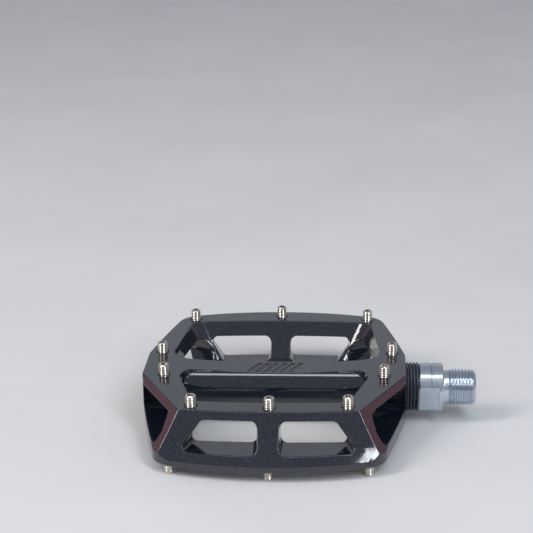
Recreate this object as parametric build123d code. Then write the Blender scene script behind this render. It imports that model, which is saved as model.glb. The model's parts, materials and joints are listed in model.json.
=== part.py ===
"""Flat bicycle pedal for a 9/16 inch crank thread.

Frame: origin on the spindle axis at the inboard end of the full crank thread.
+X runs out along the thread into the crank, +Y is the rear of the lying pedal, +Z is up. Millimetres.
The platform has the same shape on both faces, turned half a turn about the spindle axis.
"""
from build123d import *
import math
import os

# ---- driving dimensions: platform ----
BODY_TO_SHOULDER = 64.8    # middle of the platform to the crank shoulder
HALF_LENGTH = 50.6         # half the platform's length along the spindle
HALF_THICK = 9.1           # half the platform's thickness
WIDE_REACH = 58.3          # axis to the edge of a face at its wide end
NARROW_REACH = 45.8        # axis to the edge of a face at its narrow end
WIDE_CORNER = (41.2, 51.8)
NARROW_CORNER = (32.7, -44.3)     # where the corner facet starts on the face, near the front
FACET_REAR = (46.7, -17.4)        # a second point of the same straight edge
FACET_FOOT = (40.9, -49.6, -4.8)  # where facet, front wall and rim meet
FRONT_WALL_TOP = (40.3, NARROW_REACH)    # reach of the front wall at its ends and middle, at the face
FRONT_WALL_FOOT = (44.8, 60.9)           # the same just below the other face
FRONT_WALL_HALF = 60.0
FRONT_WALL_BELOW = 1.0
CORNER_R = 10.0
SIDE_ARC = (46.8, 29.0)     # a point of the curved side
SIDE_STRAIGHT = 10.4        # half the straight stretch of the side, a little past the barrel

# ---- openings and windows ----
SPAR_WEB = 5.2             # half-width of the spar between the two openings
BARREL_R = 9.6             # round barrel that carries the bearings
DISH_DEPTH = 1.6           # the spar's faces are hollowed along their length
DISH_HALF_LENGTH = 36.0
DISH_HALF_WIDTH = 6.2
MARK_SLANT = 25.0          # degrees; grooves and raised bars lean this far
MARK_HALF_WIDTH = 4.4
GROOVES = 6                # engraved in the upper face of the spar
GROOVE_DEPTH = 0.35
GROOVE_WIDTH = 1.3
GROOVE_PITCH = 3.2
GROOVE_SPAN = (-25.0, 25.0)
FIRST_GROOVE = -8.0
RAISED_BARS = 8            # left standing in a sunk panel on the lower face
BAR_HALF_LENGTH = 3.3
BAR_WIDTH = 2.2
BAR_PITCH = 6.5
FIRST_BAR = -24.0
PANEL_DEPTH = 0.5
PANEL_SPAN = (-30.0, 28.0)
WALL_BREAK_Z = 4.1         # the opening's wall is upright down to here, then slants
WINDOW_FLOOR = -3.8
WINDOW_ROOF = 7.0
WINDOW_INNER_X = 3.8       # end of a front window beside the middle pillar
WINDOW_FROM = 36.5         # the window's taper runs between these distances from the axis
WINDOW_TO = 57.5
FACET_ROOF = (8.7, 3.1)    # height of a corner window's roof, outside and inside
FACET_FRONT = (5.9, 2.5, 2.6)     # its front end along the facet's edge, at roof, bend and floor
FACET_BEND_Z = 1.0
FACET_BACK = 38.0          # its rear end, inside the barrel
FACET_REACH = (12.0, -14.0)
CORNER_WINDOW_R = (1.6, 3.0, 1.8)  # corners of its front end: roof, bend and floor
OPENING_NARROW = [(38.3, -SPAR_WEB), (28.7, -36.2)]    # right-hand corners at the narrow face
OPENING_WIDE = [(42.0, -SPAR_WEB), (37.3, -46.3)]      # right-hand corners at the wide face
OPENING_NARROW_BULGE = 1.3        # how far the curved front edge stands out between its corners
OPENING_WIDE_BULGE = 1.6
OPENING_NARROW_R = (7.0, 6.0)
OPENING_WIDE_R = (8.0, 7.0)
WINDOW_OUTLINE = [(31.8, WINDOW_FLOOR), (32.6, -1.6), (25.2, WINDOW_ROOF)]    # outer end, at the front wall
WINDOW_INNER_OUTLINE = [(26.4, WINDOW_FLOOR), (27.0, -1.6), (23.5, 5.4)]      # outer end, at the opening
WINDOW_TAPER = 0.4                # the middle pillar grows this much towards the opening
WINDOW_RADII = [2.6, 2.0, 1.0, 2.6, 2.6]

# ---- traction pins: M4 studs, ten on each face ----
PIN_R = 2.0
PIN_OUT = 4.15             # height of a pin above its face
PIN_IN = 3.85             # M4 x 8 stud
PIN_HEX = 2.0
PIN_SLACK = 0.02
PIN_SINK = 0.5
PIN_BREAK = 0.35
PIN_SOCKET = 1.8
PIN_SPOTS = [(-28.6, -40.4), (0, -42.2), (28.6, -40.4), (-42.1, -11.0), (42.1, -11.0),
             (-45.5, 12.0), (45.5, 12.0), (-36.1, 49.3), (0, 53.7), (36.1, 49.3)]

# ---- spindle ----
THREAD_R = 7.14            # 9/16 inch x 20 crank thread
RELIEF_R = 6.5
RELIEF_LENGTH = 2.2
THREAD_END = 9.7
FLANGE_R = 9.3
FLANGE_LENGTH = 9.1
FLAT_ACROSS = 15.0
FLAT_LENGTH = 7.6          # a narrow round collar is left beside the shoulder
FLAT_TILT = 17.0           # the flats face forward and this many degrees down
GROOVE_FROM_FLANGE = 4.65   # a fine turned groove, from the flange's inner face
GROOVE_R = 0.28
JOURNAL_R = 6.0
SEAT_R = 4.0               # bearing seat
STUD_R = 3.0               # M6 end for the lock nut
SOCKET_AF = 6.0
SOCKET_DEPTH = 9.0
FLANGE_BREAK = 0.35
THREAD_BREAK = 1.3
STUD_LENGTH = 4.4
STUD_BREAK = 0.5
SHOULDER_X = -(RELIEF_LENGTH + THREAD_R - RELIEF_R)    # the wrench flange's outer face
BODY_CENTRE_X = SHOULDER_X - BODY_TO_SHOULDER

# ---- bearings, 8 x 14 x 4 cartridges, stations from the platform's middle ----
BEARING_R = 7.0
BEARING_WIDTH = 4.0
BEARING_A = -40.5          # middle of the outboard bearing
BEARING_B = -34.5          # middle of the inboard bearing
BALL_R = 1.0
BALL_PITCH_R = 5.5
BALL_COUNT = 10
RACE_LIP = 5.0             # outside radius of an inner race
GAP = 0.05                 # running clearance
CAGE_HALF = 0.35
CAGE_BACK = 1.35
CAGE_FRONT = 0.4
SHIELD_INSET = 0.15
SHIELD_THICK = 0.2

# ---- seal, bush, nut and end cap ----
SEAL_R = 9.5
SEAL_RIBS = 4
SEAL_LENGTH = 4.95
SEAL_PLUG = 3.0
SEAL_SLACK = 0.08
RIB_DEPTH = 0.7
RIB_SHAPE = (0.2, 0.6, 0.8)    # shares of a rib's pitch: top starts, top ends, foot
BUSH_R = 7.0
BUSH_SPAN = (35.0, 47.4)   # plain bush, stations from the platform's middle
BUSH_SLACK = 0.03
MAIN_BORE_R = 6.5
WASHER_THICK = 0.8
NUT_AF = 8.0
NUT_LENGTH = 3.0
NUT_BREAK = 0.4
CAP_THICK = 2.2
CAP_INSET = 0.15
CAP_BREAK = 0.4
BADGE_R = 5.6
BADGE_DEPTH = 0.5
BADGE_BREAK = 0.1
BADGE_STEP_R = 3.4
BADGE_STEP = 0.15
ORING_R = 0.5

os.makedirs("parts", exist_ok=True)


# ---------------------------------------------------------------- helpers
def turned(shape):
    """The same shape for the other face: half a turn about the spindle axis."""
    return Rotation(180, 0, 0) * shape


def lathe(points):
    """A solid of revolution about the spindle axis from (x, radius) points."""
    outline = [(x, 0, r) for x, r in points]
    return revolve(make_face(Polyline(outline, close=True)), Axis.X, 360)


def sleeve(x0, x1, r_out, r_in):
    """A plain ring about the spindle axis."""
    return lathe([(x0, r_in), (x1, r_in), (x1, r_out), (x0, r_out)])


def lathe_bar(x0, x1, radius):
    """A plain round bar on the spindle axis."""
    return Pos((x0 + x1) / 2, 0, 0) * Rotation(0, 90, 0) * Cylinder(radius, x1 - x0)


def outline(corners, radii, z):
    """A flat face at height z; each corner is (point, via), with via on the arc to the next corner."""
    edges = []
    for (start, via), (end, _) in zip(corners, corners[1:] + corners[:1]):
        edges.append(ThreePointArc(start, via, end) if via else Line(start, end))
    face = make_face(edges)
    for (point, _), radius in zip(corners, radii):
        if radius:
            corner = face.vertices().sort_by_distance(Vector(*point, 0))[0]
            face = fillet(corner, radius)
    return Pos(0, 0, z) * face


def station(x):
    """The X of a place measured from the platform's middle."""
    return BODY_CENTRE_X + x


def save(name, piece):
    """Write one piece to its own file."""
    piece.label = name
    export_step(piece, f"parts/{name}.step")
    print(f"{name}: {piece.volume:.1f} mm3")


# ---------------------------------------------------------------- platform body
def plan_block():
    """The platform's plan, wide at both ends, at full thickness."""
    cx, cy = WIDE_CORNER
    sx, sy = SIDE_ARC
    hx, hy = HALF_LENGTH, SIDE_STRAIGHT
    corners = [((-cx, cy), (0, WIDE_REACH)), ((cx, cy), (sx, sy)), ((hx, hy), None),
               ((hx, -hy), (sx, -sy)), ((cx, -cy), (0, -WIDE_REACH)), ((-cx, -cy), (-sx, -sy)),
               ((-hx, -hy), None), ((-hx, hy), (-sx, sy))]
    radii = [CORNER_R, CORNER_R, 0, 0, CORNER_R, CORNER_R, 0, 0]
    return extrude(outline(corners, radii, -HALF_THICK), 2 * HALF_THICK)


def behind_front_wall():
    """Everything behind the front wall, which rises from a curved foot to a nearly straight edge."""
    faces = []
    for z, (end, middle) in ((-HALF_THICK - FRONT_WALL_BELOW, FRONT_WALL_FOOT), (HALF_THICK, FRONT_WALL_TOP)):
        wide, back = FRONT_WALL_HALF, 2 * WIDE_REACH
        corners = [((-wide, -end), (0, -middle)), ((wide, -end), None),
                   ((wide, back), None), ((-wide, back), None)]
        faces.append(outline(corners, [0, 0, 0, 0], z))
    return loft(faces, ruled=True)


def facet_edge(side):
    """Start, direction and end of the straight edge between a face and its corner facet."""
    start = Vector(side * NARROW_CORNER[0], NARROW_CORNER[1], HALF_THICK)
    end = Vector(side * FACET_REAR[0], FACET_REAR[1], HALF_THICK)
    return start, (end - start).normalized()


def facet_cut(side):
    """The metal outside a corner facet."""
    start, along = facet_edge(side)
    foot = Vector(side * FACET_FOOT[0], FACET_FOOT[1], FACET_FOOT[2])
    normal = along.cross(foot - start).normalized()
    plane = Plane(start, x_dir=along, z_dir=normal if normal.Z > 0 else -normal)
    size = 3 * HALF_LENGTH
    return plane * Box(size, size, size, align=(Align.CENTER, Align.CENTER, Align.MIN))


def corner_window(side):
    """The window through a corner facet: under the face's rail, over the lower rail, into the opening."""
    start, along = facet_edge(side)
    outward = Vector(along.Y, -along.X, 0) * side
    faces = []
    for reach, roof in zip(FACET_REACH, FACET_ROOF):
        plane = Plane(Vector(start.X, start.Y, 0) + outward * reach, x_dir=along, z_dir=outward)
        up = 1 if plane.y_dir.Z > 0 else -1
        roof_x, bend_x, floor_x = FACET_FRONT
        points = [(roof_x, up * roof), (FACET_BACK, up * roof), (FACET_BACK, up * WINDOW_FLOOR),
                  (floor_x, up * WINDOW_FLOOR), (bend_x, up * FACET_BEND_Z)]
        radii = [CORNER_WINDOW_R[0], 0, 0, CORNER_WINDOW_R[2], CORNER_WINDOW_R[1]]
        faces.append(plane * outline([(p, None) for p in points], radii, 0))
    return loft(faces, ruled=True)


def opening_face(corners, bulge, radii, z):
    """The opening's outline at one height: straight along the spar, curved along the front."""
    (spar_x, spar_y), (front_x, front_y) = corners
    points = [((-spar_x, spar_y), None), ((spar_x, spar_y), None),
              ((front_x, front_y), (0, front_y - bulge)), ((-front_x, front_y), None)]
    return outline(points, [radii[0], radii[0], radii[1], radii[1]], z)


def opening():
    """The opening on the narrow side of the upper face, widening to the lower face."""
    upper = opening_face(OPENING_NARROW, OPENING_NARROW_BULGE, OPENING_NARROW_R, WALL_BREAK_Z)
    lower = opening_face(OPENING_WIDE, OPENING_WIDE_BULGE, OPENING_WIDE_R, -HALF_THICK - 0.5)
    return loft([lower, upper], ruled=True) + extrude(upper, HALF_THICK)


def front_window(side):
    """One window through the front wall, tapering towards the opening."""
    faces = []
    for reach, taper, points in ((WINDOW_FROM, WINDOW_TAPER, WINDOW_INNER_OUTLINE),
                                 (WINDOW_TO, 0, WINDOW_OUTLINE)):
        inner_x = WINDOW_INNER_X + taper
        ends = [(inner_x, WINDOW_FLOOR), *points, (inner_x, points[-1][1])]
        corners = [((side * x, z), None) for x, z in ends]
        faces.append(Plane.XZ.offset(reach) * outline(corners, WINDOW_RADII, 0))
    return loft(faces, ruled=True)


def barrel():
    """The round barrel between the platform's ends, flattened level with both faces."""
    slab = Box(2 * HALF_LENGTH, 4 * BARREL_R, 2 * HALF_THICK)
    return (Rotation(0, 90, 0) * Cylinder(BARREL_R, 2 * HALF_LENGTH)) & slab


def dish(depth, half_length, x_from, x_to, half_width):
    """A shallow hollow along the upper face of the spar."""
    radius = (half_length ** 2 + DISH_DEPTH ** 2) / (2 * DISH_DEPTH)
    drum = Pos(0, 0, HALF_THICK - depth + radius) * Rotation(90, 0, 0) * Cylinder(radius, 2 * half_width)
    block = Box(x_to - x_from, 2 * half_width, 2 * HALF_THICK, align=(Align.MIN, Align.CENTER, Align.MIN))
    return drum & (Pos(x_from, 0, HALF_THICK / 2) * block)


def slanted_bars(count, pitch, width, first_x):
    """A row of parallel slanted bars standing across the spar."""
    bar = Rotation(0, 0, -MARK_SLANT) * Box(width, 4 * BARREL_R, 4 * HALF_THICK)
    return [Pos(first_x + i * pitch, 0, 0) * bar for i in range(count)]


def spar_marks(body):
    """Grooves engraved in the upper face of the spar; raised bars in a sunk panel on the lower face."""
    engraving = dish(DISH_DEPTH + GROOVE_DEPTH, DISH_HALF_LENGTH, *GROOVE_SPAN, MARK_HALF_WIDTH)
    for bar in slanted_bars(GROOVES, GROOVE_PITCH, GROOVE_WIDTH, FIRST_GROOVE):
        body -= engraving & bar
    panel = dish(DISH_DEPTH + PANEL_DEPTH, DISH_HALF_LENGTH, *PANEL_SPAN, MARK_HALF_WIDTH)
    between = Box(4 * HALF_LENGTH, 2 * BAR_HALF_LENGTH, 4 * HALF_THICK)
    for bar in slanted_bars(RAISED_BARS, BAR_PITCH, BAR_WIDTH, FIRST_BAR):
        panel -= bar & between
    return body - turned(panel)


def bores(body):
    """The bearing bore, the main bore and the bush bore, from the outboard end inwards."""
    body -= lathe_bar(-HALF_LENGTH - 1, BEARING_B + BEARING_WIDTH / 2, BEARING_R)
    body -= lathe_bar(-HALF_LENGTH, HALF_LENGTH, MAIN_BORE_R)
    return body - lathe_bar(BUSH_SPAN[0], HALF_LENGTH + 1, BUSH_R)


def pin_holes(body):
    """Blind tapped holes with a small countersink, ten in each face."""
    drill = Pos(0, 0, HALF_THICK - PIN_IN) * Cylinder(
        PIN_R + PIN_SLACK, 2 * PIN_IN, align=(Align.CENTER, Align.CENTER, Align.MIN))
    sink = Pos(0, 0, HALF_THICK - PIN_SINK / 2) * Cylinder(PIN_R + PIN_SINK, PIN_SINK)
    for x, y in PIN_SPOTS:
        cutter = Pos(x, y, 0) * (drill + sink)
        body -= cutter
        body -= turned(cutter)
    return body


def platform():
    """The whole platform, at its own middle."""
    body = plan_block()
    kept = behind_front_wall()
    body = body & kept & turned(kept)
    cutters = [opening()]
    for side in (-1, 1):
        cutters += [facet_cut(side), corner_window(side), front_window(side)]
    for cutter in cutters:
        body = body - cutter - turned(cutter)
    body = body + barrel()
    hollow = dish(DISH_DEPTH, DISH_HALF_LENGTH, -DISH_HALF_LENGTH, DISH_HALF_LENGTH, DISH_HALF_WIDTH)
    body = body - hollow - turned(hollow)
    return pin_holes(bores(spar_marks(body)))


# ---------------------------------------------------------------- spindle
def hex_prism(across, length):
    """A hexagonal prism along X, starting at x = 0."""
    profile = Plane.YZ * RegularPolygon(across / math.sqrt(3), 6)
    return extrude(profile, length)


def spindle():
    """The spindle: lock nut stud, bearing seat, journal, wrench flange, relief and crank thread."""
    seat_from = station(BEARING_A - BEARING_WIDTH / 2)
    seat_to = station(BEARING_B + BEARING_WIDTH / 2)
    journal_from = station(BUSH_SPAN[0] - 2)
    stud_end = seat_from - STUD_LENGTH
    flange_from = SHOULDER_X - FLANGE_LENGTH
    shape = lathe([
        (stud_end, 0), (stud_end, STUD_R - STUD_BREAK), (stud_end + STUD_BREAK, STUD_R), (seat_from, STUD_R),
        (seat_from, SEAT_R), (seat_to, SEAT_R), (seat_to, RACE_LIP), (journal_from, JOURNAL_R),
        (flange_from, JOURNAL_R), (flange_from, FLANGE_R), (SHOULDER_X, FLANGE_R), (SHOULDER_X, RELIEF_R),
        (SHOULDER_X + RELIEF_LENGTH, RELIEF_R), (0, THREAD_R), (THREAD_END - THREAD_BREAK, THREAD_R),
        (THREAD_END, THREAD_R - THREAD_BREAK), (THREAD_END, 0)])
    rims = [edge for edge in shape.edges().filter_by(GeomType.CIRCLE) if abs(edge.radius - FLANGE_R) < GAP]
    shape = fillet(rims, FLANGE_BREAK)
    groove = Rotation(0, 90, 0) * Torus(FLANGE_R, GROOVE_R)
    shape -= Pos(flange_from + GROOVE_FROM_FLANGE, 0, 0) * groove
    flat = Box(FLAT_LENGTH, 4 * FLANGE_R, FLANGE_R, align=(Align.MIN, Align.CENTER, Align.MIN))
    flat = Pos(flange_from, 0, FLAT_ACROSS / 2) * flat
    for angle in (0, 180):
        shape -= Rotation(90 + FLAT_TILT + angle, 0, 0) * flat
    return shape - Pos(THREAD_END - SOCKET_DEPTH, 0, 0) * hex_prism(SOCKET_AF, SOCKET_DEPTH + 1)


# ---------------------------------------------------------------- bearings and small parts
def around_pitch_circle(shape):
    """Copies of a shape at the places of the balls of one bearing."""
    return [Rotation(360 / BALL_COUNT * i, 0, 0) * Pos(0, BALL_PITCH_R, 0) * shape for i in range(BALL_COUNT)]


def ball_groove():
    """The track that the balls run in."""
    return Rotation(0, 90, 0) * Torus(BALL_PITCH_R, BALL_R + GAP)


def bearing(label, middle):
    """One cartridge bearing as six pieces."""
    half = BEARING_WIDTH / 2
    place = Pos(station(middle), 0, 0)
    inner = sleeve(-half, half, RACE_LIP, SEAT_R) - ball_groove()
    outer = sleeve(-half, half, BEARING_R, 2 * BALL_PITCH_R - RACE_LIP) - ball_groove()
    cage = sleeve(-CAGE_BACK, CAGE_FRONT, BALL_PITCH_R + CAGE_HALF, BALL_PITCH_R - CAGE_HALF)
    for pocket in around_pitch_circle(Rotation(90, 0, 0) * Cylinder(BALL_R + GAP, 4 * CAGE_HALF)):
        cage -= pocket
    save(f"bearing_{label}_inner_race", place * inner)
    save(f"bearing_{label}_outer_race", place * outer)
    balls = [place * ball for ball in around_pitch_circle(Rotation(0, 90, 0) * Sphere(BALL_R))]
    save(f"bearing_{label}_balls", Compound(children=balls))
    save(f"bearing_{label}_cage", place * cage)
    for name, x in (("outboard", -half + SHIELD_INSET), ("inboard", half - SHIELD_INSET - SHIELD_THICK)):
        shield = sleeve(x, x + SHIELD_THICK, 2 * BALL_PITCH_R - RACE_LIP, RACE_LIP + GAP)
        save(f"bearing_{label}_shield_{name}", place * shield)


def lock_nut():
    """The hexagon nut that holds the bearings."""
    dome = lathe([(0, 0), (0, NUT_AF / 2), (NUT_BREAK, NUT_AF / 2 + 2 * NUT_BREAK),
                  (NUT_LENGTH, NUT_AF), (NUT_LENGTH, 0)])
    nut = hex_prism(NUT_AF, NUT_LENGTH) & dome
    return nut - lathe_bar(-1, NUT_LENGTH + 1, STUD_R)


def rubber_seal():
    """The ribbed seal: a plug in the bush bore and four ribs outside."""
    face = station(HALF_LENGTH)
    pitch = SEAL_LENGTH / SEAL_RIBS
    points = [(face - SEAL_PLUG, JOURNAL_R + SEAL_SLACK), (face - SEAL_PLUG, BUSH_R), (face, BUSH_R)]
    for i in range(SEAL_RIBS):
        x = face + i * pitch
        top_from, top_to, foot = [x + share * pitch for share in RIB_SHAPE]
        points += [(x, SEAL_R - RIB_DEPTH), (top_from, SEAL_R), (top_to, SEAL_R), (foot, SEAL_R - RIB_DEPTH)]
    points += [(face + SEAL_LENGTH, SEAL_R - RIB_DEPTH), (face + SEAL_LENGTH, JOURNAL_R + SEAL_SLACK)]
    return lathe(points)


def end_cap():
    """The plug in the outboard end, with a groove for its O-ring and a recess for the badge."""
    face = station(-HALF_LENGTH) + CAP_INSET
    back = face + CAP_THICK
    groove = back - CAP_THICK / 2
    half = ORING_R + GAP
    return lathe([
        (face + BADGE_DEPTH, 0), (face + BADGE_DEPTH, BADGE_R), (face, BADGE_R),
        (face, BEARING_R - CAP_BREAK), (face + CAP_BREAK, BEARING_R),
        (groove - half, BEARING_R), (groove - half, BEARING_R - 2 * half),
        (groove + half, BEARING_R - 2 * half), (groove + half, BEARING_R), (back, BEARING_R), (back, 0)])


def cap_badge():
    """A plain round disc with a low step, set in the end cap."""
    face = station(-HALF_LENGTH) + CAP_INSET
    return lathe([(face + BADGE_DEPTH, 0), (face + BADGE_DEPTH, BADGE_R), (face + BADGE_BREAK, BADGE_R),
                  (face, BADGE_R - BADGE_BREAK), (face, BADGE_STEP_R),
                  (face + BADGE_STEP, BADGE_STEP_R - BADGE_BREAK), (face + BADGE_STEP, 0)])


def cap_ring():
    """The O-ring round the end cap."""
    middle = station(-HALF_LENGTH) + CAP_INSET + CAP_THICK / 2
    return Pos(middle, 0, 0) * Rotation(0, 90, 0) * Torus(BEARING_R - ORING_R - GAP, ORING_R)


def traction_pin():
    """One stud, standing on the XY plane, with a hexagon socket in its tip."""
    length = PIN_IN + PIN_OUT
    stud = chamfer(Cylinder(PIN_R, length, align=(Align.CENTER, Align.CENTER, Align.MIN)).edges()
                   .filter_by(GeomType.CIRCLE), PIN_BREAK)
    socket = Pos(0, 0, length - PIN_SOCKET) * extrude(RegularPolygon(PIN_HEX / math.sqrt(3), 6), PIN_SOCKET)
    return stud - socket


def pins():
    """Ten pins in each face."""
    pin = traction_pin()
    for number, (x, y) in enumerate(PIN_SPOTS, start=1):
        upright = Pos(x, y, HALF_THICK - PIN_IN) * pin
        save(f"pin_upper_{number:02d}", Pos(BODY_CENTRE_X, 0, 0) * upright)
        save(f"pin_lower_{number:02d}", Pos(BODY_CENTRE_X, 0, 0) * turned(upright))


save("pedal_body", Pos(BODY_CENTRE_X, 0, 0) * platform())
pins()
save("spindle", spindle())
bearing("outboard", BEARING_A)
bearing("inboard", BEARING_B)
seat_end = station(BEARING_A - BEARING_WIDTH / 2)
save("race_spacer", sleeve(station(BEARING_A + BEARING_WIDTH / 2), station(BEARING_B - BEARING_WIDTH / 2),
                           RACE_LIP, SEAT_R))
save("lock_washer", sleeve(seat_end - WASHER_THICK, seat_end, RACE_LIP, STUD_R))
save("lock_nut", Pos(seat_end - WASHER_THICK - NUT_LENGTH, 0, 0) * lock_nut())
save("inboard_bush", sleeve(station(BUSH_SPAN[0]), station(BUSH_SPAN[1]), BUSH_R, JOURNAL_R + BUSH_SLACK))
save("rubber_seal", rubber_seal())
save("end_cap", end_cap())
save("cap_badge", cap_badge())
save("cap_ring", cap_ring())
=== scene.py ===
"""Looks of a flat bicycle pedal with traction pins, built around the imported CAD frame. Metres."""

import json
import math
import random

import bpy
from mathutils import Euler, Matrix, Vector


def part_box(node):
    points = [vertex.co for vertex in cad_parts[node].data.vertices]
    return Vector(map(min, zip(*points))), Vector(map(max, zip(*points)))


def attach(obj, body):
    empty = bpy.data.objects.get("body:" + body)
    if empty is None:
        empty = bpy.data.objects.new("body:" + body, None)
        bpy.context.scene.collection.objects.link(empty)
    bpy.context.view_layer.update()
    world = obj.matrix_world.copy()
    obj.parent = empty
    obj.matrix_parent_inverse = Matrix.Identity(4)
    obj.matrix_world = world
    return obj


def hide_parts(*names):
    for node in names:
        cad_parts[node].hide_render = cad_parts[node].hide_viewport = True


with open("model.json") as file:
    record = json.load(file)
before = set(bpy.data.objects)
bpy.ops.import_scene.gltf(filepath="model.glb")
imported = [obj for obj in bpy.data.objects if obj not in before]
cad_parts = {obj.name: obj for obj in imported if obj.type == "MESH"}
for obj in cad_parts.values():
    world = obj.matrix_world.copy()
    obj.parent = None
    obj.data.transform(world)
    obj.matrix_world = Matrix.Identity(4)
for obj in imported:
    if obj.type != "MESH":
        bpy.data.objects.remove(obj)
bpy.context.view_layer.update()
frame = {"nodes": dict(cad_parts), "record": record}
nodes = frame["nodes"]
MM = 0.001

# ---- driving dimensions, from the CAD ----
THREAD_PITCH = 1.27 * MM          # 9/16 inch x 20 crank thread
PIN_PITCH = 0.7 * MM              # M4
STUD_PITCH = 1.0 * MM             # M6 lock nut thread
THREAD_DEPTH = 0.6134             # share of the pitch
CREST_SHARE = 0.14                # width of the flat crest, share of the pitch
ROOT_SHARE = 0.2                  # width of the flat root, share of the pitch
FLAT_HALF = 7.5 * MM              # axis to a wrench flat
FLAT_LENGTH = 7.6 * MM
FLAT_TILT = math.radians(17.0)
FLANGE_LENGTH = 9.1 * MM
FLANGE_BREAK = 0.35 * MM
GROOVE_AT = 4.65 * MM             # from the flange's inner face
GROOVE_HALF = 0.25 * MM
SHOULDER_X = -2.84 * MM
RELIEF_R = 6.5 * MM
THREAD_R = 7.14 * MM
JOURNAL_R = 6.0 * MM
SEAT_R = 4.0 * MM
STUD_R = 3.0 * MM
RACE_LIP = 5.0 * MM
SOCKET_AF = 6.0 * MM
SOCKET_DEPTH = 9.0 * MM

BODY_LOW, BODY_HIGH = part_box("pedal_body")
BODY_X = (BODY_LOW.x + BODY_HIGH.x) / 2
FLOOR_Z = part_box("pin_lower_01")[0].z


# ---------------------------------------------------------------- mesh helpers
def mesh_piece(name, verts, faces, body, material, sharp):
    """A new mesh object, smooth below the sharp angle in degrees, that rides on a body if one is named."""
    mesh = bpy.data.meshes.new(name)
    mesh.from_pydata([tuple(v) for v in verts], [], faces)
    mesh.validate()
    mesh.polygons.foreach_set("use_smooth", [True] * len(mesh.polygons))
    mesh.set_sharp_from_angle(angle=math.radians(sharp))
    mesh.materials.append(material)
    piece = bpy.data.objects.new(name, mesh)
    bpy.context.scene.collection.objects.link(piece)
    if body:
        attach(piece, body)
    return piece


def skin(rings, start_point=None, end_point=None, loop=False):
    """Quads between rings of equal length, closed at the ends by fans to a point."""
    count = len(rings[0])
    verts = [v for ring in rings for v in ring]
    faces = []
    pairs = list(zip(range(len(rings) - 1), range(1, len(rings))))
    if loop:
        pairs.append((len(rings) - 1, 0))
    for a, b in pairs:
        for i in range(count):
            j = (i + 1) % count
            faces.append((a * count + i, a * count + j, b * count + j, b * count + i))
    if start_point is not None:
        verts.append(start_point)
        faces += [(len(verts) - 1, (i + 1) % count, i) for i in range(count)]
    if end_point is not None:
        last = (len(rings) - 1) * count
        verts.append(end_point)
        faces += [(len(verts) - 1, last + i, last + (i + 1) % count) for i in range(count)]
    return verts, faces


def thread_depth(phase, depth):
    """How far below its crest a thread lies, phase turns along. The crest and the root are flat."""
    away = abs(phase % 1.0 - 0.5) * 2
    return depth * min(1.0, max(0.0, (away - CREST_SHARE) / (1.0 - CREST_SHARE - ROOT_SHARE)))


def round_thread_depth(phase, depth):
    """The same for a thread with round crests and roots."""
    return depth * (0.5 - 0.5 * math.cos(2 * math.pi * phase))


def hex_radius(angle, across):
    """Distance from the centre of a hexagon to its outline."""
    return across / 2 / math.cos((angle % (math.pi / 3)) - math.pi / 6)


# ---------------------------------------------------------------- traction pins
PIN_STEPS = 48
PIN_CHAMFER = 0.42 * MM
PIN_THREAD_DEPTH = 0.17 * MM
PIN_ROWS_PER_TURN = 10
PIN_TIP_R = 1.5 * MM
PIN_MOUTH_R = 1.27 * MM
PIN_MOUTH_DEPTH = 0.1 * MM
PIN_SOCKET_AF = 2.0 * MM
PIN_SOCKET_DEPTH = 1.8 * MM
PIN_SOCKET_CONE = 0.4 * MM
PIN_SEED = 7


def pin_mesh(length, radius):
    """A threaded stud standing on the XY plane, with a hexagon socket in its tip."""
    angles = [2 * math.pi * i / PIN_STEPS for i in range(PIN_STEPS)]
    rows = round(length / PIN_PITCH * PIN_ROWS_PER_TURN)

    def ring(z, radius_at):
        return [Vector((radius_at(a) * math.cos(a), radius_at(a) * math.sin(a), z)) for a in angles]

    rings = []
    for row in range(rows + 1):
        z = length * row / rows
        limit = PIN_TIP_R + min(z, length - z) * (radius - PIN_TIP_R) / PIN_CHAMFER
        rings.append(ring(z, lambda a: min(
            limit, radius - round_thread_depth(z / PIN_PITCH - a / (2 * math.pi), PIN_THREAD_DEPTH))))
    rings.append(ring(length, lambda a: PIN_MOUTH_R))
    rings.append(ring(length - PIN_MOUTH_DEPTH, lambda a: hex_radius(a, PIN_SOCKET_AF)))
    rings.append(ring(length - PIN_SOCKET_DEPTH, lambda a: hex_radius(a, PIN_SOCKET_AF)))
    return skin(rings, Vector((0, 0, 0)), Vector((0, 0, length - PIN_SOCKET_DEPTH - PIN_SOCKET_CONE)))


def pins(material):
    """One threaded stud for each CAD pin, sharing one mesh, each screwed in to its own angle."""
    rng = random.Random(PIN_SEED)
    low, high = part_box("pin_upper_01")
    verts, faces = pin_mesh(high.z - low.z, (high.x - low.x) / 2)
    shared = None
    for side in ("upper", "lower"):
        for number in range(1, 11):
            node = f"pin_{side}_{number:02d}"
            low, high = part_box(node)
            if shared is None:
                piece = mesh_piece(f"stud_{side}_{number:02d}", verts, faces, None, material, sharp=28)
                shared = piece.data
            else:
                piece = bpy.data.objects.new(f"stud_{side}_{number:02d}", shared)
                bpy.context.scene.collection.objects.link(piece)
            flip = side == "lower"
            turn = rng.uniform(0, 2 * math.pi)
            piece.location = ((low.x + high.x) / 2, (low.y + high.y) / 2, high.z if flip else low.z)
            piece.rotation_euler = Euler((math.pi if flip else 0, 0, turn))
            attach(piece, "platform")
            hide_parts(node)


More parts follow.
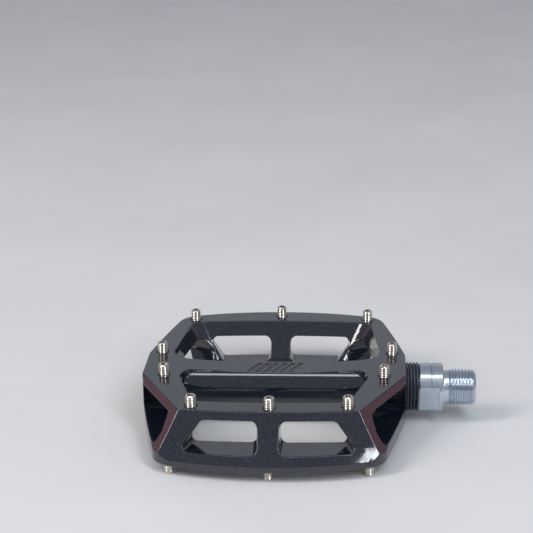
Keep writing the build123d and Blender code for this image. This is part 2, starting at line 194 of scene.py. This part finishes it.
# ---------------------------------------------------------------- spindle
SPINDLE_STEPS = 168
SPINDLE_ROWS_PER_TURN = 14
JOURNAL_BEHIND_BUSH = 2 * MM
STUD_GAP = 0.6 * MM               # undercut between the nut's thread and the bearing seat
STUD_UNDERCUT = 0.5 * MM
STUD_BREAK = 0.5 * MM
FLAT_RUN_OUT = 0.05 * MM
SHOULDER_FILLET = 0.5 * MM
FILLET_STEPS = 5
RELIEF_END_X = -0.64 * MM
RELIEF_LEAD = 0.3 * MM
THREAD_BREAK = 1.3 * MM
SOCKET_MOUTH = 0.25 * MM
SOCKET_CHAMFER = 0.3 * MM
SOCKET_CONE = 1.2 * MM
FACING_LEAST = 0.05               # cosine below which a direction misses both flats
NO_LIMIT = 1.0                    # a radius past everything


def spindle_angles():
    """Even angles with the exact corners of the wrench flats among them."""
    angles = {round(2 * math.pi * i / SPINDLE_STEPS, 6) for i in range(SPINDLE_STEPS)}
    flange_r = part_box("spindle")[1].y
    corner = math.acos(FLAT_HALF / flange_r)
    for normal in flat_normals():
        for side in (-1, 1):
            angles.add(round((normal + side * corner) % (2 * math.pi), 6))
    return sorted(angles)


def flat_normals():
    """Angles about +X, from +Y, that the wrench flats face: forward and a little down, and back."""
    return (math.pi + FLAT_TILT, FLAT_TILT)


def flat_limit(angle):
    """Radius at which a wrench flat cuts the section at this angle."""
    cosines = [math.cos(angle - normal) for normal in flat_normals()]
    best = max(cosines)
    return FLAT_HALF / best if best > FACING_LEAST else NO_LIMIT


def spindle(material):
    """The whole spindle, with real helical threads, wrench flats, a turned groove and a hexagon socket."""
    angles = spindle_angles()
    low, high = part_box("spindle")
    flange_r = high.y
    flange_from = SHOULDER_X - FLANGE_LENGTH
    seat_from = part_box("bearing_outboard_inner_race")[0].x
    seat_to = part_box("bearing_inboard_inner_race")[1].x
    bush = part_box("inboard_bush")
    journal_from = bush[0].x - JOURNAL_BEHIND_BUSH

    def ring(x, radius_at):
        return [Vector((x, radius_at(a) * math.cos(a), radius_at(a) * math.sin(a))) for a in angles]

    def plain(x, r):
        return ring(x, lambda a: r)

    def flatted(x, r):
        return ring(x, lambda a: min(r, flat_limit(a)))

    def threaded(x0, x1, r, pitch, limit):
        rows = math.ceil((x1 - x0) / pitch * SPINDLE_ROWS_PER_TURN)
        depth = THREAD_DEPTH * pitch
        made = []
        for row in range(rows + 1):
            x = x0 + (x1 - x0) * row / rows
            top = limit(x)
            made.append(ring(x, lambda a: min(
                top, r - thread_depth(x / pitch - a / (2 * math.pi), depth))))
        return made

    rings = threaded(low.x, seat_from - STUD_GAP, STUD_R, STUD_PITCH,
                     lambda x: STUD_R - max(0.0, low.x + STUD_BREAK - x))
    rings += [plain(seat_from - STUD_GAP, STUD_R - STUD_UNDERCUT),
              plain(seat_from, STUD_R - STUD_UNDERCUT),
              plain(seat_from, SEAT_R), plain(seat_to, SEAT_R), plain(seat_to, RACE_LIP),
              plain(journal_from, JOURNAL_R), plain(flange_from, JOURNAL_R)]
    groove = flange_from + GROOVE_AT
    flat_to = flange_from + FLAT_LENGTH
    rings += [flatted(flange_from, flange_r - FLANGE_BREAK), flatted(flange_from + FLANGE_BREAK, flange_r),
              flatted(groove - GROOVE_HALF, flange_r), flatted(groove, flange_r - GROOVE_HALF),
              flatted(groove + GROOVE_HALF, flange_r), flatted(flat_to, flange_r),
              plain(flat_to + FLAT_RUN_OUT, flange_r), plain(SHOULDER_X - FLANGE_BREAK, flange_r),
              plain(SHOULDER_X, flange_r - FLANGE_BREAK),
              plain(SHOULDER_X, RELIEF_R + SHOULDER_FILLET)]
    for step in range(1, FILLET_STEPS + 1):
        bend = math.pi / 2 * step / FILLET_STEPS
        rings.append(plain(SHOULDER_X + SHOULDER_FILLET * (1 - math.cos(bend)),
                           RELIEF_R + SHOULDER_FILLET * (1 - math.sin(bend))))
    rings.append(plain(RELIEF_END_X - RELIEF_LEAD, RELIEF_R))
    rings += threaded(RELIEF_END_X, high.x, THREAD_R, THREAD_PITCH,
                      lambda x: min(RELIEF_R + (x - RELIEF_END_X),
                                    THREAD_R - max(0.0, x - (high.x - THREAD_BREAK))))
    mouth = SOCKET_AF / math.sqrt(3) + SOCKET_MOUTH
    rings += [plain(high.x, mouth),
              ring(high.x - SOCKET_CHAMFER, lambda a: hex_radius(a, SOCKET_AF)),
              ring(high.x - SOCKET_DEPTH, lambda a: hex_radius(a, SOCKET_AF))]
    tip = Vector((high.x - SOCKET_DEPTH - SOCKET_CONE, 0, 0))
    verts, faces = skin(rings, Vector((low.x, 0, 0)), tip)
    piece = mesh_piece("threaded_spindle", verts, faces, "spindle", material, sharp=24)
    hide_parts("spindle")


# ---------------------------------------------------------------- seal
LATHE_STEPS = 128
SEAL_RIBS = 4
RIB_DEPTH = 0.75 * MM
RIB_STEPS = 14
RIB_ROUNDING = 0.55               # under 1 makes a rib fuller than a cosine
SEAL_PLAY = 0.08 * MM
SEAL_NECK_R = 7.0 * MM


def lathed(name, profile, body, material, sharp):
    """A closed ring turned about the spindle axis from (x, radius) points in order."""
    rings = []
    for x, r in profile:
        rings.append([Vector((x, r * math.cos(a), r * math.sin(a)))
                      for a in (2 * math.pi * i / LATHE_STEPS for i in range(LATHE_STEPS))])
    verts, faces = skin(rings, loop=True)
    return mesh_piece(name, verts, faces, body, material, sharp)


def ribbed_seal(material):
    """The rubber seal, with four rounded ribs."""
    low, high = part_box("rubber_seal")
    rim = BODY_HIGH.x
    outer = high.y
    bore = JOURNAL_R + SEAL_PLAY
    pitch = (high.x - rim) / SEAL_RIBS
    profile = [(low.x, bore), (low.x, SEAL_NECK_R), (rim, SEAL_NECK_R)]
    for i in range(SEAL_RIBS * RIB_STEPS + 1):
        phase = i / RIB_STEPS
        swell = 0.5 - 0.5 * math.cos(2 * math.pi * phase)
        profile.append((rim + pitch * phase, outer - RIB_DEPTH * (1 - swell ** RIB_ROUNDING)))
    profile += [(high.x, bore)]
    piece = lathed("ribbed_seal", profile, "platform", material, sharp=50)
    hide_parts("rubber_seal")


# ---------------------------------------------------------------- materials
FINE_GRAIN = 0.03 * MM            # height of the fine grain on metal, rubber and plastic


def node_material(name):
    """A new material, its node tree and its shader."""
    material = bpy.data.materials.new(name)
    material.use_nodes = True
    tree = material.node_tree
    shader = tree.nodes["Principled BSDF"]
    return material, tree, shader


def add(tree, kind, **inputs):
    """A node with some of its input values set by name."""
    node = tree.nodes.new(kind)
    for key, value in inputs.items():
        node.inputs[key.replace("_", " ")].default_value = value
    return node


def object_noise(tree, scale, detail, stretch=(1, 1, 1), roughness=0.5):
    """Noise in the object's own coordinates, stretched along its axes."""
    coords = tree.nodes.new("ShaderNodeTexCoord")
    mapping = tree.nodes.new("ShaderNodeMapping")
    mapping.inputs["Scale"].default_value = stretch
    noise = add(tree, "ShaderNodeTexNoise", Scale=scale, Detail=detail, Roughness=roughness)
    tree.links.new(coords.outputs["Object"], mapping.inputs["Vector"])
    tree.links.new(mapping.outputs["Vector"], noise.inputs["Vector"])
    return noise


def ranged(tree, source, low, high, from_low=0.3, from_high=0.7):
    """Maps a noise value to a range."""
    node = add(tree, "ShaderNodeMapRange")
    node.inputs["From Min"].default_value = from_low
    node.inputs["From Max"].default_value = from_high
    node.inputs["To Min"].default_value = low
    node.inputs["To Max"].default_value = high
    tree.links.new(source, node.inputs["Value"])
    return node.outputs["Result"]


def bump(tree, height, strength, distance, normal=None):
    """A bump node on a height value."""
    node = add(tree, "ShaderNodeBump", Strength=strength, Distance=distance)
    tree.links.new(height, node.inputs["Height"])
    if normal is not None:
        tree.links.new(normal, node.inputs["Normal"])
    return node.outputs["Normal"]


def colour_mix(tree, factor, first, second):
    """A colour between two by a factor socket."""
    node = tree.nodes.new("ShaderNodeMix")
    node.data_type = "RGBA"
    node.inputs["A"].default_value = (*first, 1)
    node.inputs["B"].default_value = (*second, 1)
    tree.links.new(factor, node.inputs["Factor"])
    return node.outputs["Result"]


def black_finish(name, dark, light):
    """A dark gloss finish over machined metal, with fine sparkle painted into the colour as light specks
    (painted glints) and faint tool lines.
    """
    material, tree, shader = node_material(name)
    cloud = object_noise(tree, scale=90, detail=4)
    speckle = object_noise(tree, scale=2100, detail=2)
    lines = object_noise(tree, scale=900, stretch=(0.08, 1, 1), detail=3)
    # Painted glints: specks of the light colour mixed into the dark base colour.
    glint_paint = ranged(tree, speckle.outputs["Fac"], 0, 1, 0.56, 0.78)
    tree.links.new(colour_mix(tree, glint_paint, dark, light), shader.inputs["Base Color"])
    tree.links.new(ranged(tree, cloud.outputs["Fac"], 0.05, 0.10), shader.inputs["Roughness"])
    shader.inputs["IOR"].default_value = 1.8
    normal = bump(tree, speckle.outputs["Fac"], strength=0.18, distance=0.02 * MM)
    normal = bump(tree, lines.outputs["Fac"], strength=0.10, distance=0.04 * MM, normal=normal)
    tree.links.new(normal, shader.inputs["Normal"])
    return material


def metal_finish(name, colour, worn, rough, scale, stretch, lines):
    """Plated steel with faint tool lines and cloudy polish."""
    material, tree, shader = node_material(name)
    cloud = object_noise(tree, scale, detail=5)
    fine = object_noise(tree, scale * 12, stretch=stretch, detail=3)
    blend = ranged(tree, cloud.outputs["Fac"], 0, 1)
    tree.links.new(colour_mix(tree, blend, colour, worn), shader.inputs["Base Color"])
    tree.links.new(ranged(tree, fine.outputs["Fac"], rough * 0.8, rough * 1.3), shader.inputs["Roughness"])
    shader.inputs["Metallic"].default_value = 1.0
    tree.links.new(bump(tree, fine.outputs["Fac"], lines, FINE_GRAIN), shader.inputs["Normal"])
    return material


def moulded_finish(name, colour, worn, rough, grain):
    """Rubber or moulded plastic with a fine grain."""
    material, tree, shader = node_material(name)
    cloud = object_noise(tree, scale=300, detail=4)
    fine = object_noise(tree, scale=5000, detail=2)
    blend = ranged(tree, cloud.outputs["Fac"], 0, 1)
    tree.links.new(colour_mix(tree, blend, colour, worn), shader.inputs["Base Color"])
    tree.links.new(ranged(tree, cloud.outputs["Fac"], rough * 0.85, rough * 1.2), shader.inputs["Roughness"])
    tree.links.new(bump(tree, fine.outputs["Fac"], grain, FINE_GRAIN), shader.inputs["Normal"])
    return material


MATERIALS = {
    # For a black finish the second colour is the colour of its painted glints.
    "black_anodised": black_finish("black_anodised", (0.005, 0.007, 0.014), (0.045, 0.062, 0.10)),
    "nickel_steel": metal_finish("nickel_steel", (0.84, 0.80, 0.74), (0.70, 0.63, 0.55),
                                 rough=0.15, scale=500, stretch=(1, 1, 0.2), lines=0.04),
    "zinc_steel": metal_finish("zinc_steel", (0.64, 0.70, 0.78), (0.55, 0.61, 0.69),
                               rough=0.21, scale=250, stretch=(1, 0.05, 0.05), lines=0.10),
    "bearing_steel": metal_finish("bearing_steel", (0.70, 0.71, 0.73), (0.6, 0.61, 0.63),
                                  rough=0.18, scale=300, stretch=(1, 1, 1), lines=0.1),
    "cage_polymer": moulded_finish("cage_polymer", (0.50, 0.40, 0.26), (0.44, 0.35, 0.22),
                                   rough=0.5, grain=0.1),
    "bush_polymer": moulded_finish("bush_polymer", (0.09, 0.09, 0.10), (0.07, 0.07, 0.08),
                                   rough=0.45, grain=0.1),
    "seal_rubber": moulded_finish("seal_rubber", (0.030, 0.035, 0.050), (0.045, 0.050, 0.068),
                                  rough=0.27, grain=0.10),
    "cap_metal": black_finish("cap_metal", (0.008, 0.009, 0.013), (0.05, 0.06, 0.08)),
    "badge_metal": metal_finish("badge_metal", (0.62, 0.60, 0.10), (0.50, 0.47, 0.08),
                                rough=0.22, scale=400, stretch=(1, 1, 1), lines=0.1),
}
# Painted sheen: the black corner facets are coloured dark red for the maroon sheen they show at this angle,
# with painted glints.
FACET_SHEEN_PAINT = black_finish("facet_painted_sheen", (0.048, 0.004, 0.013), (0.15, 0.020, 0.045))


def dress_cad_nodes():
    """Each CAD node takes the material of its slot."""
    for part in frame["record"]["subparts"]:
        node = nodes[part["node"]]
        node.data.materials.clear()
        node.data.materials.append(MATERIALS[part["material_slot"]])


# ---------------------------------------------------------------- platform body
FACET_NORMAL = Vector((0.727, 0.378, 0.573))    # its components' sizes; y and z have opposite signs
FACET_MATCH = 0.995
FACET_NEAREST = 30 * MM           # facets lie further than this from the platform's middle
EDGE_ROUND = 0.3 * MM
SMALL_EDGE_ROUND = 0.06 * MM
ROUND_SEGMENTS = 2
ROUND_ANGLE = math.radians(30.0)
WELD_DISTANCE = 0.002 * MM
FLAT_ANGLE = math.radians(0.6)


def facet_faces(mesh):
    """Faces of the four corner facets, found by the way they face; they take the painted maroon sheen."""
    for face in mesh.polygons:
        n = face.normal
        tilt = abs(n.y * FACET_NORMAL.y - n.z * FACET_NORMAL.z)
        along = abs(n.x) * FACET_NORMAL.x + tilt
        if along > FACET_MATCH and abs(face.center.x - BODY_X) > FACET_NEAREST:
            # material 1 is the painted maroon sheen
            face.material_index = 1


def round_edges(node, width):
    """Joins the split vertices, clears the flat faces of their triangles, and rounds the sharp edges."""
    weld = node.modifiers.new("weld", "WELD")
    weld.merge_threshold = WELD_DISTANCE
    clean = node.modifiers.new("clean", "DECIMATE")
    clean.decimate_type = "DISSOLVE"
    clean.angle_limit = FLAT_ANGLE
    bevel = node.modifiers.new("round", "BEVEL")
    bevel.width = width
    bevel.segments = ROUND_SEGMENTS
    bevel.limit_method = "ANGLE"
    bevel.angle_limit = ROUND_ANGLE
    bevel.use_clamp_overlap = False
    bevel.material = 0
    bevel.face_strength_mode = "FSTR_AFFECTED"
    weigh = node.modifiers.new("weigh", "WEIGHTED_NORMAL")
    weigh.mode = "FACE_AREA"
    weigh.weight = 100
    weigh.use_face_influence = True
    weigh.keep_sharp = False
    for face in node.data.polygons:
        face.use_smooth = True


def platform_body():
    """The body's finish: rounded edges, and the black corner facets coloured dark red as a painted maroon
    sheen.
    """
    body = nodes["pedal_body"]
    body.data.materials.append(FACET_SHEEN_PAINT)
    facet_faces(body.data)
    round_edges(body, EDGE_ROUND)


# ---------------------------------------------------------------- stage, light and camera
FLOOR_DARK = (0.68, 0.68, 0.70)
FLOOR_LIGHT = (0.74, 0.735, 0.74)
FLOOR_SIZE = 12
FLOOR_BACK = 2                    # the floor's middle lies this far behind the pedal
ROOM_COLOUR = (0.33, 0.34, 0.37, 1)
CAMERA_LENS = 98.05               # mm, on a 36 mm sensor
CAMERA_RIGHT = 31.28 * MM         # from the platform's middle
CAMERA_FRONT = 522.65 * MM
CAMERA_UP = 222.91 * MM
CAMERA_TURN = (71.618, 0.919, 3.421)    # degrees


def stage_floor():
    """A plain pale floor."""
    material, tree, shader = node_material("floor_paint")
    cloud = object_noise(tree, scale=9, detail=6, roughness=0.6)
    paint = colour_mix(tree, ranged(tree, cloud.outputs["Fac"], 0, 1), FLOOR_DARK, FLOOR_LIGHT)
    tree.links.new(paint, shader.inputs["Base Color"])
    shader.inputs["Roughness"].default_value = 0.65
    bpy.ops.mesh.primitive_plane_add(size=FLOOR_SIZE, location=(0, FLOOR_BACK, FLOOR_Z))
    floor = bpy.context.object
    floor.name = "floor"
    floor.data.materials.append(material)


def area_light(name, azimuth, elevation, distance, size, watts, colour):
    """A soft light aimed at the platform. Azimuth 0 is the front, positive to the right; degrees."""
    a, e = math.radians(azimuth), math.radians(elevation)
    way = Vector((math.sin(a) * math.cos(e), -math.cos(a) * math.cos(e), math.sin(e)))
    data = bpy.data.lights.new(name, "AREA")
    data.shape = "RECTANGLE"
    data.size, data.size_y = size
    data.energy = watts
    data.color = colour
    lamp = bpy.data.objects.new(name, data)
    bpy.context.scene.collection.objects.link(lamp)
    lamp.location = Vector((BODY_X, 0, 0)) + way * distance
    lamp.rotation_euler = way.to_track_quat("Z", "Y").to_euler()


def lights():
    """Daylight from a window each side of the camera, the roof and a pale wall behind, in a dim room."""
    area_light("window_left", azimuth=-63, elevation=43, distance=1.3,
               size=(0.30, 0.75), watts=7.6, colour=(1.0, 0.96, 0.91))
    area_light("window_right", azimuth=36, elevation=43, distance=1.3,
               size=(0.22, 0.75), watts=6.7, colour=(0.90, 0.96, 1.0))
    area_light("roof_light", azimuth=3, elevation=72, distance=1.4,
               size=(0.9, 0.17), watts=2.4, colour=(0.94, 0.97, 1.0))
    area_light("pale_wall", azimuth=180, elevation=24, distance=1.8,
               size=(1.8, 0.7), watts=0.8, colour=(0.88, 0.95, 1.0))
    world = bpy.data.worlds.new("room")
    world.use_nodes = True
    bpy.context.scene.world = world
    background = world.node_tree.nodes["Background"]
    background.inputs["Color"].default_value = ROOM_COLOUR
    background.inputs["Strength"].default_value = 1.0


def camera():
    """The photograph's viewpoint: above the front, a little to the right of the platform's middle."""
    data = bpy.data.cameras.new("camera")
    data.lens = CAMERA_LENS
    data.sensor_width = 36.0
    data.clip_start, data.clip_end = 0.01, 50
    cam = bpy.data.objects.new("camera", data)
    bpy.context.scene.collection.objects.link(cam)
    cam.location = (BODY_X + CAMERA_RIGHT, -CAMERA_FRONT, CAMERA_UP)
    cam.rotation_euler = Euler([math.radians(a) for a in CAMERA_TURN])
    bpy.context.scene.camera = cam


dress_cad_nodes()
platform_body()
for name in ("end_cap", "cap_badge", "lock_nut"):
    round_edges(nodes[name], SMALL_EDGE_ROUND)
pins(MATERIALS["nickel_steel"])
spindle(MATERIALS["zinc_steel"])
ribbed_seal(MATERIALS["seal_rubber"])
stage_floor()
lights()
camera()
bpy.context.scene.view_settings.view_transform = "Standard"
